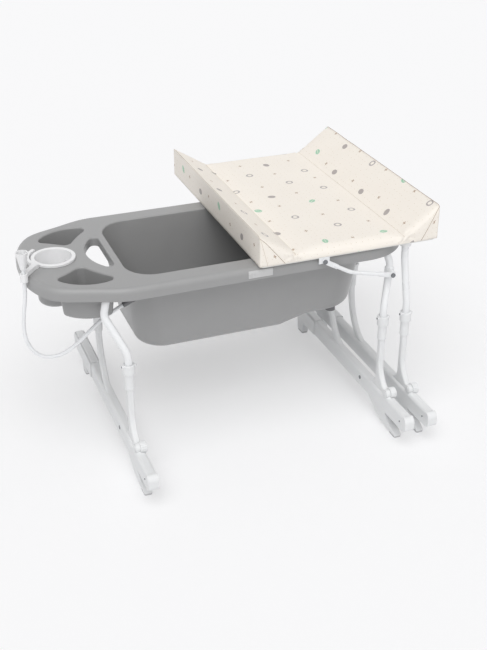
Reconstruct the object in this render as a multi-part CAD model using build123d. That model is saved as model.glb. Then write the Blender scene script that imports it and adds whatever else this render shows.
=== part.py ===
from build123d import *
import math
import os

os.makedirs("parts", exist_ok=True)

# Baby bath with a changing top that swings off it, on three moulded runner frames.
# Millimetres. X runs along the tub towards the changing top, Y from front to back, Z up.
# While the pieces are drawn, X = 0 and Y = 0 is the middle of the tub, and Z = 0 the floor.

# Driving sizes
RIM_HEIGHT = 522.0
FRAME_SPACING = 722.0
FRAME_SHIFT = 3.0
FAR_FRAME_GAP = 70.0
LEG_FRONT = 256.0
LEG_REAR = 74.0
TUBE_DIA = 20.0
TUBE_WALL = 1.5
TUB_WIDTH = 483.0
TUB_NOSE = 569.0
TUB_TAIL = 470.0
BASIN_LEFT = 322.0
BASIN_RIGHT = 368.0
TUB_WALL = 3.5
RIM_WIDTH = 58.0
RIM_DEPTH = 33.0
PAD_WIDTH = 515.0
PAD_LENGTH = 715.0
RUNNER_LIFT = 51.0
RUNNER_HEIGHT = 46.0
RUNNER_WIDTH = 28.0
RUNNER_FRONT = 428.0
RUNNER_BACK = 356.0
HOSE_DIA = 10.0

# Clearances shared by the pieces
GAP = 0.3
PIN_FIT = 0.05
CUT = 2.0

LEFT_FRAME = FRAME_SHIFT - FRAME_SPACING / 2
NEAR_FRAME = FRAME_SHIFT + FRAME_SPACING / 2
FAR_FRAME = NEAR_FRAME + FAR_FRAME_GAP

solids = {}


def keep(name, *pieces):
    """Store the solids of one named piece."""
    solids[name] = solids.get(name, []) + list(pieces)


def cylinder_between(start, end, radius):
    """A round bar from one point to another."""
    axis = Vector(*end) - Vector(*start)
    return extrude(Plane(origin=start, z_dir=axis) * Circle(radius), axis.length)


# Tub: one thin moulding with a crowned rim that hangs over the two long tubes
RIM_ROUND = 15.0
NOSE_SHARES = ((0.445, 0.872), (0.80, 0.70), (0.95, 0.42))
TAIL_CORNER = 150.0
HALF_TUB = TUB_WIDTH / 2
NOSE_RUN = TUB_NOSE - BASIN_LEFT


def rim_plan(inset):
    """Plan of the rim, drawn in from its outer edge: blunt nose at the left, round corners."""
    half = HALF_TUB - inset
    run = NOSE_RUN - inset
    tail = TUB_TAIL - inset
    corner = TAIL_CORNER - inset
    nose = [(-BASIN_LEFT - u * run, v * half) for u, v in NOSE_SHARES]
    points = [(-BASIN_LEFT, half)] + nose + [(-BASIN_LEFT - run, 0)]
    back = Spline(*points, tangents=[(-1, 0), (0, -1)])
    front = mirror(back, Plane.XZ)
    side = Line((-BASIN_LEFT, half), (tail - corner, half))
    turn = RadiusArc((tail - corner, half), (tail, half - corner), corner)
    edges = [back, front, side, turn, mirror(side, Plane.XZ), mirror(turn, Plane.XZ)]
    if half > corner:
        edges.append(Line((tail, half - corner), (tail, corner - half)))
    return make_face(edges)


def rim_block(inset, top, bottom, rounding):
    """Solid under the rim plan, its top edge rounded."""
    block = Pos(0, 0, bottom) * extrude(rim_plan(inset), top - bottom)
    return fillet(block.edges().group_by(Axis.Z)[-1], rounding)


# The basin: a deep seat at the left and a shallow end at the right, drafted walls
BASIN_HALF = HALF_TUB - RIM_WIDTH
DEEP_FLOOR = 281.0
SHALLOW_FLOOR = 305.0
DRAFT_SIDE = 34.0
DRAFT_LEFT = 32.0
DRAFT_RIGHT = 30.0
STEP_START = 105.0
STEP_END = 185.0
BASIN_CORNER_LEFT = 78.0
BASIN_CORNER_RIGHT = 100.0
STEP_ROUND = 45.0
FLOOR_ROUND = 26.0


def basin_plan(height, inset):
    """Plan of the basin at a height: its walls lean in by the drafts."""
    share = (RIM_HEIGHT - height) / (RIM_HEIGHT - DEEP_FLOOR)
    left = -BASIN_LEFT + DRAFT_LEFT * share + inset
    right = BASIN_RIGHT - DRAFT_RIGHT * share - inset
    half = BASIN_HALF - DRAFT_SIDE * share - inset
    plan = Pos((left + right) / 2, 0) * Rectangle(right - left, half * 2)
    plan = fillet(plan.vertices().sort_by(Axis.X)[:2], BASIN_CORNER_LEFT - inset)
    plan = fillet(plan.vertices().sort_by(Axis.X)[-2:], BASIN_CORNER_RIGHT - inset)
    return Pos(0, 0, height) * plan


def crosses_step(edge):
    """Whether an edge runs straight across the basin at the top or foot of its step."""
    size = edge.bounding_box().size
    beside = STEP_START - CUT < edge.center().X < STEP_END + STEP_ROUND
    return size.X < CUT and size.Y > BASIN_HALF and beside


def basin_form(inset, top):
    """Outer form of the basin (inset 0) or its hollow (inset one wall), its floor in two levels."""
    shallow = SHALLOW_FLOOR + inset
    deep = DEEP_FLOOR + inset
    block = loft([basin_plan(z, inset) for z in (top, deep)], ruled=True)
    start = STEP_START + inset / 2
    end = STEP_END + inset / 2
    reach = BASIN_RIGHT + FLOOR_ROUND
    low = deep - FLOOR_ROUND
    corners = [(start - FLOOR_ROUND, low), (start, deep), (end, shallow), (reach, shallow), (reach, low)]
    under = make_face(Polyline(*corners, close=True))
    block -= extrude(Plane.XZ * under, BASIN_HALF, both=True)
    block = fillet([edge for edge in block.edges() if crosses_step(edge)], STEP_ROUND)
    floor_edges = [
        edge
        for edge in block.edges()
        if edge.bounding_box().max.Z < shallow + CUT / 2 and not crosses_step(edge)
    ]
    return fillet(floor_edges, FLOOR_ROUND - inset)


# The tray beside the basin: bowl pocket, two soap dishes and a D-shaped hand hole
BOWL_X = -478.0
BOWL_POCKET_TOP = 51.0
BOWL_POCKET_BOTTOM = 44.0
POCKET_FLOOR = 405.0
DISH_FLOOR = 423.0
DISH_LEAN = 10.0
DISH_REACH = 62.0
DISH_CENTRE_SHARES = (0.41, 0.48)
MOUTH_ROUND = 4.0
DISH_CORNER = 18.0
DISH_ROUND = 6.0
POCKET_ROUND = 12.0
HAND_HOLE_FLAT = 338.0
HAND_HOLE_BULGE = 391.0
HAND_HOLE_HALF = 113.0
HAND_HOLE_LIP = 24.0
HAND_HOLE_CORNER = 13.0
DISH_CORNER_SHARES = ((0.72, 0.49), (0.41, 0.27), (0.10, 0.685))
DISH_SIDE_SHARES = ((0.55, 0.385), (0.27, 0.49), (0.42, 0.735))


def dish_place(side, shares, factor):
    """Place on the tray, drawn in towards the dish's middle by a factor."""
    u, v = (middle + (share - middle) * factor for share, middle in zip(shares, DISH_CENTRE_SHARES))
    return (-BASIN_LEFT - u * NOSE_RUN, side * v * HALF_TUB)


def dish_plan(side, factor):
    """Curved triangle of one soap dish; side is -1 for the front one and 1 for the rear one."""
    corner = [dish_place(side, shares, factor) for shares in DISH_CORNER_SHARES]
    middle = [dish_place(side, shares, factor) for shares in DISH_SIDE_SHARES]
    arcs = [ThreePointArc(corner[i], middle[i], corner[(i + 1) % 3]) for i in range(3)]
    plan = make_face(arcs)
    return fillet(plan.vertices(), DISH_CORNER * factor)


def dish_form(side, grow, top):
    """Drafted cup of a soap dish, grown by one wall for its outside."""
    sections = [
        Pos(0, 0, height) * dish_plan(side, 1 + (grow - lean) / DISH_REACH)
        for height, lean in ((top, 0), (DISH_FLOOR - grow, DISH_LEAN))
    ]
    cup = loft(sections, ruled=True)
    return fillet(cup.edges().group_by(Axis.Z)[0], DISH_ROUND)


def pocket_form(grow, top):
    """Tapered cup that holds the rinsing bowl."""
    low = POCKET_FLOOR - grow
    cup = Cone(BOWL_POCKET_BOTTOM + grow, BOWL_POCKET_TOP + grow, top - low)
    cup = Pos(BOWL_X, 0, (top + low) / 2) * cup
    return fillet(cup.edges().group_by(Axis.Z)[0], POCKET_ROUND)


def hand_hole_plan(grow):
    """D-shaped hole: straight beside the basin, bulging towards the bowl."""
    flat_x = -HAND_HOLE_FLAT + grow
    half = HAND_HOLE_HALF + grow
    flat = Line((flat_x, -half), (flat_x, half))
    bulge = ThreePointArc((flat_x, half), (-HAND_HOLE_BULGE - grow, 0), (flat_x, -half))
    plan = make_face([flat, bulge])
    return fillet(plan.vertices(), HAND_HOLE_CORNER)


DECK_UNDER = RIM_HEIGHT - TUB_WALL
LIP_BOTTOM = RIM_HEIGHT - RIM_DEPTH

tub = rim_block(0, RIM_HEIGHT, LIP_BOTTOM, RIM_ROUND)
tub -= rim_block(TUB_WALL, DECK_UNDER, LIP_BOTTOM - CUT, RIM_ROUND - TUB_WALL)
tub += basin_form(0, DECK_UNDER)
tub += pocket_form(TUB_WALL, DECK_UNDER)
tub += [dish_form(side, TUB_WALL, DECK_UNDER) for side in (-1, 1)]
hole_low = RIM_HEIGHT - HAND_HOLE_LIP
tub += Pos(0, 0, hole_low) * extrude(hand_hole_plan(TUB_WALL), DECK_UNDER - hole_low)
tub -= basin_form(TUB_WALL, RIM_HEIGHT + CUT)
tub -= pocket_form(0, RIM_HEIGHT + CUT)
tub -= [dish_form(side, 0, RIM_HEIGHT + CUT) for side in (-1, 1)]
tub -= Pos(0, 0, hole_low - CUT) * extrude(hand_hole_plan(0), HAND_HOLE_LIP + CUT * 2)
mouths = [
    edge
    for edge in tub.edges().filter_by_position(Axis.Z, RIM_HEIGHT - PIN_FIT, RIM_HEIGHT + PIN_FIT)
    if abs(edge.center().Y) < HALF_TUB - RIM_ROUND - CUT and edge.center().X < BASIN_RIGHT
]
tub = fillet(mouths, MOUTH_ROUND)

# Waste fittings: a valve under the shallow end, its plug, and the spigot for the hose
VALVE_X = 286.0
VALVE_Y = -84.0
VALVE_BORE = 11.0
VALVE_WALL = 3.0
VALVE_FLANGE = 18.5
VALVE_FLANGE_THICK = 2.5
VALVE_DEPTH = 34.0
PLUG_CAP = 16.5
PLUG_THICK = 4.0
PLUG_STEM = 16.0
PLUG_STEM_LOW = 9.0
SPIGOT_END = (-330.0, -121.0, 418.0)
SPIGOT_NEXT = (-352.0, -117.5, 406.0)
SPIGOT_DIA = 15.0
SPIGOT_LENGTH = 32.0

valve_place = Pos(VALVE_X, VALVE_Y, SHALLOW_FLOOR)
tub -= valve_place * Cylinder(VALVE_BORE + VALVE_WALL + PIN_FIT, TUB_WALL * 4)
keep("tub", tub)

valve = Pos(0, 0, -VALVE_FLANGE_THICK / 2) * Cylinder(VALVE_FLANGE, VALVE_FLANGE_THICK)
valve += Pos(0, 0, -VALVE_DEPTH / 2) * Cylinder(VALVE_BORE + VALVE_WALL, VALVE_DEPTH)
valve += Pos(0, 0, TUB_WALL / 2) * Cylinder(VALVE_BORE + VALVE_WALL, TUB_WALL)
valve -= Cylinder(VALVE_BORE, VALVE_DEPTH * 2 + CUT)
keep("waste_valve", valve_place * valve)

plug_seat = SHALLOW_FLOOR + TUB_WALL
plug = Pos(0, 0, PLUG_THICK / 2) * Cylinder(PLUG_CAP, PLUG_THICK)
plug += Pos(0, 0, -PLUG_STEM / 2) * Cone(PLUG_STEM_LOW, VALVE_BORE - GAP, PLUG_STEM)
plug += Pos(0, 0, PLUG_THICK) * Sphere(PLUG_THICK)
keep("plug", Pos(VALVE_X, VALVE_Y, plug_seat) * plug)

spigot_axis = (Vector(*SPIGOT_END) - Vector(*SPIGOT_NEXT)).normalized()
spigot_root = Vector(*SPIGOT_END) + spigot_axis * SPIGOT_LENGTH
spigot = cylinder_between(tuple(spigot_root), SPIGOT_END, SPIGOT_DIA / 2)
spigot -= basin_form(0, RIM_HEIGHT + CUT)
keep("hose_spigot", spigot)

# Frame tubes: bent steel tube, plugged into the leg sockets and nested under the rim
SOCKET_TOP = 319.0
SOCKET_DEPTH = 50.0
STUB = 30.0
TUBE_Z = DECK_UNDER - TUBE_DIA / 2 - GAP
TUBE_Y = 204.0
TUBE_END = SOCKET_TOP - SOCKET_DEPTH + GAP
STUB_TOP = SOCKET_TOP + STUB
SLANT_LEFT = 44.0
SLANT_RIGHT = 30.0
ELBOW_Z = 442.0
ELBOW_RAISE = 16.0
ELBOW_OUT_LEFT = 2.0
ELBOW_OUT_RIGHT = 16.0
RUN_OVER = 30.0
RUN_OVER_RIGHT = 16.0
REAR_ELBOW_Z = 408.0
REAR_ELBOW_IN = 14.0
REAR_SLANT = 12.0
REAR_STUB = 36.0
REAR_STUB_TOP = SOCKET_TOP + REAR_STUB
WIDE_BEND = 55.0
TIGHT_BEND = 30.0
FAR_TOP_Y = 226.0
FAR_ELBOW_Z = 445.0


def bent_tube(points, radii):
    """Round tube along straight runs joined by bends."""
    path = FilletPolyline(*points, radius=radii)
    start = Vector(*points[1]) - Vector(*points[0])
    ring = Circle(TUBE_DIA / 2) - Circle(TUBE_DIA / 2 - TUBE_WALL)
    return sweep(Plane(origin=points[0], z_dir=start) * ring, path=path)


front_tube_route = [
    (LEFT_FRAME, -LEG_FRONT, TUBE_END),
    (LEFT_FRAME, -LEG_FRONT, STUB_TOP),
    (LEFT_FRAME - SLANT_LEFT, -TUBE_Y - ELBOW_OUT_LEFT, ELBOW_Z),
    (LEFT_FRAME - RUN_OVER, -TUBE_Y, TUBE_Z),
    (NEAR_FRAME + RUN_OVER_RIGHT, -TUBE_Y, TUBE_Z),
    (NEAR_FRAME + SLANT_RIGHT, -TUBE_Y - ELBOW_OUT_RIGHT, ELBOW_Z + ELBOW_RAISE),
    (NEAR_FRAME, -LEG_FRONT, STUB_TOP),
    (NEAR_FRAME, -LEG_FRONT, TUBE_END),
]
rear_tube_route = [
    (LEFT_FRAME, LEG_REAR, TUBE_END),
    (LEFT_FRAME, LEG_REAR, REAR_STUB_TOP),
    (LEFT_FRAME, TUBE_Y - REAR_ELBOW_IN, REAR_ELBOW_Z),
    (LEFT_FRAME - RUN_OVER, TUBE_Y, TUBE_Z),
    (NEAR_FRAME + RUN_OVER_RIGHT, TUBE_Y, TUBE_Z),
    (NEAR_FRAME + REAR_SLANT, TUBE_Y - REAR_ELBOW_IN, REAR_ELBOW_Z),
    (NEAR_FRAME, LEG_REAR, REAR_STUB_TOP),
    (NEAR_FRAME, LEG_REAR, TUBE_END),
]
bends = [WIDE_BEND, TIGHT_BEND, TIGHT_BEND, TIGHT_BEND, TIGHT_BEND, WIDE_BEND]
keep("front_tube", bent_tube(front_tube_route, bends))
keep("rear_tube", bent_tube(rear_tube_route, bends))

# Runner frames: one moulding each, a channel-shaped runner with two legs and their sockets
RUNNER_WALL = 2.6
RUNNER_ROUND = 9.0
BAY_ROUND = 4.5
LEG_THICK = 17.0
LEG_DEPTH = 18.0
FLARE_FRONT = 80.0
FLARE_REAR = 32.0
LEG_EDGE = 5.0
SOCKET_WALL = 2.3
SOCKET_LENGTH = 74.0
REAR_LEG_START = 38.0
RUNNER_TOP = RUNNER_LIFT + RUNNER_HEIGHT
END_CUT_RADIUS = 34.0
SOCKET_RADIUS = TUBE_DIA / 2 + PIN_FIT + SOCKET_WALL
SOCKET_LOW = SOCKET_TOP - SOCKET_LENGTH
END_CUT_REACH = math.sqrt(END_CUT_RADIUS**2 - (RUNNER_HEIGHT / 2) ** 2)
END_CUT_CENTRE = (-RUNNER_FRONT - END_CUT_REACH, RUNNER_LIFT + RUNNER_HEIGHT / 2)

# Horn foot: a curved foot that folds up into the runner's channel about a pin
HORN_PIVOT = (-170.0, 76.0)
HORN_PIN_DIA = 8.0
HORN_BOSS = 14.0
HORN_THICK = 21.0
HORN_TIP = 386.0
TIP_PAD = 5.0
TIP_LENGTH = 34.0

# Knob at the foot of the front leg: it sits in a notch and its screw crosses a boss on the leg
KNOB_PLACE = (-318.0, 105.0)
KNOB_DIA = 32.0
KNOB_THICK = 18.0
KNOB_RIBS = 16
KNOB_RIB = 1.5
KNOB_EDGE = 3.0
KNOB_SCREW_DIA = 8.0
KNOB_BOSS_DIA = 24.0
KNOB_BOSS = 12.0
KNOB_ROOM = 1.0
WASHER_DIA = 19.0
WASHER_THICK = 2.0
FRONT_TUBE_LEG = -LEG_FRONT
REAR_TUBE_LEG = LEG_REAR


def side_outline(edges, thickness):
    """Plate drawn in the Y-Z plane and thickened evenly to both sides of the frame's middle."""
    face = make_face(edges)
    plate = extrude(Plane.YZ * face, thickness / 2, both=True)
    return plate


def round_bar_x(y, z, radius, x_from, x_to):
    """Cylinder along X between two places."""
    return Pos((x_from + x_to) / 2, y, z) * Rot(0, 90, 0) * Cylinder(radius, x_to - x_from)


def front_leg():
    """Straight leg that flares into the runner: widely in front, briefly behind."""
    front = FRONT_TUBE_LEG - LEG_DEPTH / 2
    back = FRONT_TUBE_LEG + LEG_DEPTH / 2
    knee_front = RUNNER_TOP + FLARE_FRONT
    knee_back = RUNNER_TOP + FLARE_REAR
    high = SOCKET_LOW + CUT
    sink = RUNNER_TOP - RUNNER_ROUND
    edges = [
        RadiusArc((front - FLARE_FRONT, RUNNER_TOP), (front, knee_front), -FLARE_FRONT),
        Line((front, knee_front), (front, high)),
        Line((front, high), (back, high)),
        Line((back, high), (back, knee_back)),
        RadiusArc((back, knee_back), (back + FLARE_REAR, RUNNER_TOP), -FLARE_REAR),
        Line((back + FLARE_REAR, RUNNER_TOP), (back + FLARE_REAR, sink)),
        Line((back + FLARE_REAR, sink), (front - FLARE_FRONT, sink)),
        Line((front - FLARE_FRONT, sink), (front - FLARE_FRONT, RUNNER_TOP)),
    ]
    return side_outline(edges, LEG_THICK)


def rear_leg():
    """Leg that leaves the runner along its top and sweeps up to the rear socket."""
    start = -REAR_LEG_START
    half = LEG_DEPTH / 2
    rise = SOCKET_LOW - RUNNER_TOP
    inner = REAR_TUBE_LEG - half - start
    outer = REAR_TUBE_LEG + half - start
    sink = RUNNER_TOP - RUNNER_ROUND
    drop = SOCKET_LOW - sink
    outer_rise = rise + LEG_DEPTH
    angle = math.asin(drop / outer_rise)
    swept = math.degrees(angle)
    inner_arc = EllipticalCenterArc((start, SOCKET_LOW), inner, rise, 270, arc_size=90)
    outer_arc = EllipticalCenterArc((start, SOCKET_LOW), outer, outer_rise, 360 - swept, arc_size=swept)
    foot = (start + outer * math.cos(angle), sink)
    edges = [
        inner_arc,
        Line(inner_arc @ 1, (REAR_TUBE_LEG - half, SOCKET_LOW + CUT)),
        Line((REAR_TUBE_LEG - half, SOCKET_LOW + CUT), (REAR_TUBE_LEG + half, SOCKET_LOW + CUT)),
        Line((REAR_TUBE_LEG + half, SOCKET_LOW + CUT), outer_arc @ 1),
        outer_arc,
        Line(outer_arc @ 0, (start, sink)),
        Line((start, sink), inner_arc @ 0),
    ]
    return side_outline(edges, LEG_THICK)


def side_frame():
    """Runner, legs and sockets as one moulding, about X = 0."""
    bar = Pos(0, RUNNER_LIFT + RUNNER_HEIGHT / 2) * Rectangle(RUNNER_WIDTH, RUNNER_HEIGHT)
    bar = fillet(bar.vertices().group_by(Axis.Y)[-1], RUNNER_ROUND)
    bay_height = RUNNER_HEIGHT - RUNNER_WALL + CUT
    bay = Pos(0, RUNNER_TOP - RUNNER_WALL - bay_height / 2) * Rectangle(
        RUNNER_WIDTH - RUNNER_WALL * 2, bay_height
    )
    bay = fillet(bay.vertices().group_by(Axis.Y)[-1], BAY_ROUND)
    length = RUNNER_FRONT + RUNNER_BACK
    back_plane = Plane(origin=(0, RUNNER_BACK, 0), x_dir=(1, 0, 0), z_dir=(0, -1, 0))
    frame = extrude(back_plane * bar, length)
    for leg in (front_leg(), rear_leg()):
        sides = leg.faces().group_by(Axis.X)
        rims = sides[0].edges() + sides[-1].edges()
        rims = [e for e in rims if RUNNER_TOP + CUT < e.center().Z < SOCKET_LOW + CUT / 2]
        frame += fillet(rims, LEG_EDGE)
    frame += round_bar_x(*KNOB_PLACE, KNOB_BOSS_DIA / 2, -KNOB_BOSS, 0)
    frame -= extrude(back_plane * bay, length)
    frame -= round_bar_x(*KNOB_PLACE, KNOB_DIA / 2 + KNOB_ROOM, 0, RUNNER_WIDTH)
    frame -= round_bar_x(*END_CUT_CENTRE, END_CUT_RADIUS, -RUNNER_WIDTH, RUNNER_WIDTH)
    for y in (FRONT_TUBE_LEG, REAR_TUBE_LEG):
        middle = SOCKET_TOP - SOCKET_LENGTH / 2
        socket = Pos(0, y, middle) * Cylinder(SOCKET_RADIUS, SOCKET_LENGTH)
        socket = fillet(socket.edges().group_by(Axis.Z)[0], LEG_EDGE)
        frame += socket
        bore = Cylinder(TUBE_DIA / 2 + PIN_FIT, SOCKET_DEPTH + CUT)
        frame -= Pos(0, y, SOCKET_TOP - SOCKET_DEPTH + (SOCKET_DEPTH + CUT) / 2) * bore
    frame -= round_bar_x(*HORN_PIVOT, HORN_PIN_DIA / 2 + PIN_FIT, -RUNNER_WIDTH, RUNNER_WIDTH)
    frame -= round_bar_x(*KNOB_PLACE, KNOB_SCREW_DIA / 2 + PIN_FIT, -RUNNER_WIDTH, 0)
    return frame


# Collars round the sockets, each with an ear and a screw at both sides
COLLAR_WALL = 3.6
COLLAR_HEIGHT = 27.0
COLLAR_RISE = 1.5
EAR_DROP = 6.0
EAR_DIA = 9.0
EAR_REACH = 2.0
SCREW_DIA = 5.0
SCREW_HEAD = 1.4


def collar(y):
    """Ring round one socket, with its two ears."""
    outer = SOCKET_RADIUS + COLLAR_WALL
    top = SOCKET_TOP + COLLAR_RISE
    middle = top - COLLAR_HEIGHT / 2
    ring = Pos(0, y, middle) * Cylinder(outer, COLLAR_HEIGHT)
    ring = fillet(ring.edges().group_by(Axis.Z)[-1], COLLAR_RISE)
    ring += round_bar_x(y, top - EAR_DROP, EAR_DIA / 2, -outer - EAR_REACH, outer + EAR_REACH)
    ring -= Pos(0, y, middle) * Cylinder(SOCKET_RADIUS + PIN_FIT, COLLAR_HEIGHT * 2)
    return ring


def collar_screws(y):
    """Screw heads on the ends of both ears."""
    reach = SOCKET_RADIUS + COLLAR_WALL + EAR_REACH
    ear = SOCKET_TOP + COLLAR_RISE - EAR_DROP
    return [
        round_bar_x(y, ear, SCREW_DIA / 2, min(x, x + d), max(x, x + d))
        for x, d in ((-reach, -SCREW_HEAD), (reach, SCREW_HEAD))
    ]


# End caps of the runner: a rounded plug in front, a sleeve with a foot behind
CAP_NOSE = 16.0
CAP_PLUG = 22.0
SLEEVE_FRONT = 152.0
SLEEVE_END = 372.0
SLEEVE_WALL = 2.0
SLEEVE_ROUND = 9.0
FOOT_FRONT = 252.0
FOOT_BACK = 288.0
FOOT_LEAN = 6.0
FOOT_THICK = 20.0
FOOT_EDGE = 5.0


def front_cap():
    """Plug in the runner's mouth with a rounded nose that follows the concave end."""
    height = RUNNER_HEIGHT - GAP * 2
    low = RUNNER_LIFT + GAP
    nose_y = -RUNNER_FRONT - CAP_NOSE
    depth = END_CUT_CENTRE[0] + END_CUT_RADIUS - nose_y
    nose = Pos(0, nose_y + depth / 2, low + height / 2) * Box(RUNNER_WIDTH, depth, height)
    nose = fillet(nose.edges().filter_by(Axis.X).group_by(Axis.Y)[0], CAP_NOSE)
    nose &= round_bar_x(*END_CUT_CENTRE, END_CUT_RADIUS - GAP, -RUNNER_WIDTH, RUNNER_WIDTH)
    width = RUNNER_WIDTH - RUNNER_WALL * 2 - GAP * 2
    bay = RUNNER_HEIGHT - RUNNER_WALL - RUNNER_ROUND
    plug = Pos(0, -RUNNER_FRONT + CAP_PLUG / 2, low + bay / 2) * Box(width, CAP_PLUG, bay)
    return nose + plug


def rear_cap():
    """Sleeve over the runner's rear end with a foot under it."""
    length = SLEEVE_END - SLEEVE_FRONT
    width = RUNNER_WIDTH + SLEEVE_WALL * 2
    height = RUNNER_HEIGHT + SLEEVE_WALL * 2
    middle = (0, (SLEEVE_END + SLEEVE_FRONT) / 2, RUNNER_LIFT + RUNNER_HEIGHT / 2)
    sleeve = Pos(*middle) * Box(width, length, height)
    back_edges = sleeve.edges().filter_by(Axis.X).sort_by(Axis.Y)[-2:]
    sleeve = fillet(back_edges.sort_by(Axis.Z)[-1], RUNNER_HEIGHT / 2)
    sleeve = fillet(sleeve.edges().filter_by(Axis.Y).group_by(Axis.Z)[-1], SLEEVE_ROUND)
    under = RUNNER_LIFT - SLEEVE_WALL
    foot = side_outline(
        [
            Polyline(
                (FOOT_FRONT - FOOT_LEAN, under + CUT),
                (FOOT_BACK + FOOT_LEAN, under + CUT),
                (FOOT_BACK, TIP_PAD),
                (FOOT_FRONT, TIP_PAD),
                close=True,
            )
        ],
        FOOT_THICK,
    )
    bay = Pos(0, (SLEEVE_FRONT - CUT + RUNNER_BACK + GAP) / 2, middle[2]) * Box(
        RUNNER_WIDTH + GAP * 2, RUNNER_BACK + GAP - SLEEVE_FRONT + CUT, RUNNER_HEIGHT + GAP * 2
    )
    return sleeve + foot - bay


def rear_pad():
    """Rubber pad under the rear foot."""
    pad_plate = Pos(0, (FOOT_FRONT + FOOT_BACK) / 2, TIP_PAD / 2) * Box(
        FOOT_THICK, FOOT_BACK - FOOT_FRONT, TIP_PAD
    )
    return fillet(pad_plate.edges().filter_by(Axis.Z), FOOT_EDGE)


HORN_BACK_PLACES = ((-206.0, 84.0), (-262.0, 67.0), (-318.0, 50.0), (-336.0, 33.0), (-364.0, 19.0))
HORN_BELLY_PLACES = ((-310.0, 8.0), (-262.0, 22.0), (-218.0, 47.0), (-176.0, 60.0))
HORN_HEEL_DROP = 6.0


def horn():
    """Curved foot: a boss on the pin, then a tusk whose belly sinks to its tip on the floor."""
    pivot_y, pivot_z = HORN_PIVOT
    heel = (pivot_y + HORN_BOSS, pivot_z)
    back = Spline((pivot_y, pivot_z + HORN_BOSS), *HORN_BACK_PLACES, (-HORN_TIP, TIP_PAD))
    tip = Line((-HORN_TIP, TIP_PAD), (-HORN_TIP + TIP_LENGTH, TIP_PAD))
    belly = Spline((-HORN_TIP + TIP_LENGTH, TIP_PAD), *HORN_BELLY_PLACES)
    chin = Line(HORN_BELLY_PLACES[-1], (heel[0], pivot_z - HORN_HEEL_DROP))
    rise = Line((heel[0], pivot_z - HORN_HEEL_DROP), heel)
    crown = RadiusArc(heel, (pivot_y, pivot_z + HORN_BOSS), -HORN_BOSS)
    tusk = side_outline([back, tip, belly, chin, rise, crown], HORN_THICK)
    return tusk - round_bar_x(pivot_y, pivot_z, HORN_PIN_DIA / 2 + PIN_FIT, -HORN_THICK, HORN_THICK)


def horn_tip():
    """Rubber tip under the horn foot."""
    plate = Pos(0, -HORN_TIP + TIP_LENGTH / 2, TIP_PAD / 2) * Box(HORN_THICK, TIP_LENGTH, TIP_PAD)
    return fillet(plate.edges().filter_by(Axis.Z), FOOT_EDGE)


PIN_HEAD_DIA = 11.0
PIN_HEAD_THICK = 1.2


def horn_pin():
    """Pin through the runner that the horn foot turns on, with a head at both ends."""
    outside = RUNNER_WIDTH / 2 + PIN_HEAD_THICK
    pin = round_bar_x(*HORN_PIVOT, HORN_PIN_DIA / 2, -outside, outside)
    for x in (-outside, RUNNER_WIDTH / 2):
        pin += round_bar_x(*HORN_PIVOT, PIN_HEAD_DIA / 2, x, x + PIN_HEAD_THICK)
    return pin


def knob():
    """Ribbed knob in its notch, with its screw through the boss and a washer at the screw's end."""
    y, z = KNOB_PLACE
    grip = round_bar_x(y, z, KNOB_DIA / 2, GAP, GAP + KNOB_THICK)
    grip = fillet(grip.edges().group_by(Axis.X)[-1], KNOB_EDGE)
    for i in range(KNOB_RIBS):
        turn = 2 * math.pi * i / KNOB_RIBS
        groove_y = y + KNOB_DIA / 2 * math.cos(turn)
        groove_z = z + KNOB_DIA / 2 * math.sin(turn)
        grip -= round_bar_x(groove_y, groove_z, KNOB_RIB, GAP - CUT, GAP + KNOB_THICK + CUT)
    washer_end = -KNOB_BOSS - GAP
    grip += round_bar_x(y, z, KNOB_SCREW_DIA / 2, washer_end, GAP)
    return grip + round_bar_x(y, z, WASHER_DIA / 2, washer_end - WASHER_THICK, washer_end)


CAP_SCREW_PLACE = (-412.0, 74.0)
CAP_SCREW_DIA = 4.5


def cap_screw():
    """Small screw head on the runner's left face, near its front end."""
    face = -RUNNER_WIDTH / 2
    return round_bar_x(*CAP_SCREW_PLACE, CAP_SCREW_DIA / 2, face - SCREW_HEAD, face)


makers = {
    "side_frame": side_frame,
    "front_cap": front_cap,
    "rear_cap": rear_cap,
    "rear_pad": rear_pad,
    "horn_foot": horn,
    "horn_tip": horn_tip,
    "knob": knob,
}
for name, maker in makers.items():
    piece = maker()
    for frame_name, x in (("left", LEFT_FRAME), ("near", NEAR_FRAME), ("far", FAR_FRAME)):
        keep(f"{frame_name}_{name}", Pos(x, 0, 0) * piece)
pin = horn_pin()
rings = [collar(y) for y in (FRONT_TUBE_LEG, REAR_TUBE_LEG)]
heads = [cap_screw()] + [head for y in (FRONT_TUBE_LEG, REAR_TUBE_LEG) for head in collar_screws(y)]
for frame_name, x in (("left", LEFT_FRAME), ("near", NEAR_FRAME), ("far", FAR_FRAME)):
    keep(f"{frame_name}_collars", *[Pos(x, 0, 0) * ring for ring in rings])
    group = "far" if frame_name == "far" else "fixed"
    keep(f"{group}_horn_pins", Pos(x, 0, 0) * pin)
    keep(f"{group}_frame_screws", *[Pos(x, 0, 0) * head for head in heads])

# Changing top: a board on the far frame, carried at its other side by two swing arms
BOARD_THICK = 3.4
BOARD_LIFT = 0.6
BOARD_INSET = 3.0
BOARD_CORNER = 12.0
PAD_FRONT = 251.0
PAD_LEFT = 0.0
FLANGE_DIA = 30.0
FLANGE_DEPTH = 14.0
BOARD_UNDER = RIM_HEIGHT + BOARD_LIFT
BOARD_TOP = BOARD_UNDER + BOARD_THICK

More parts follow.
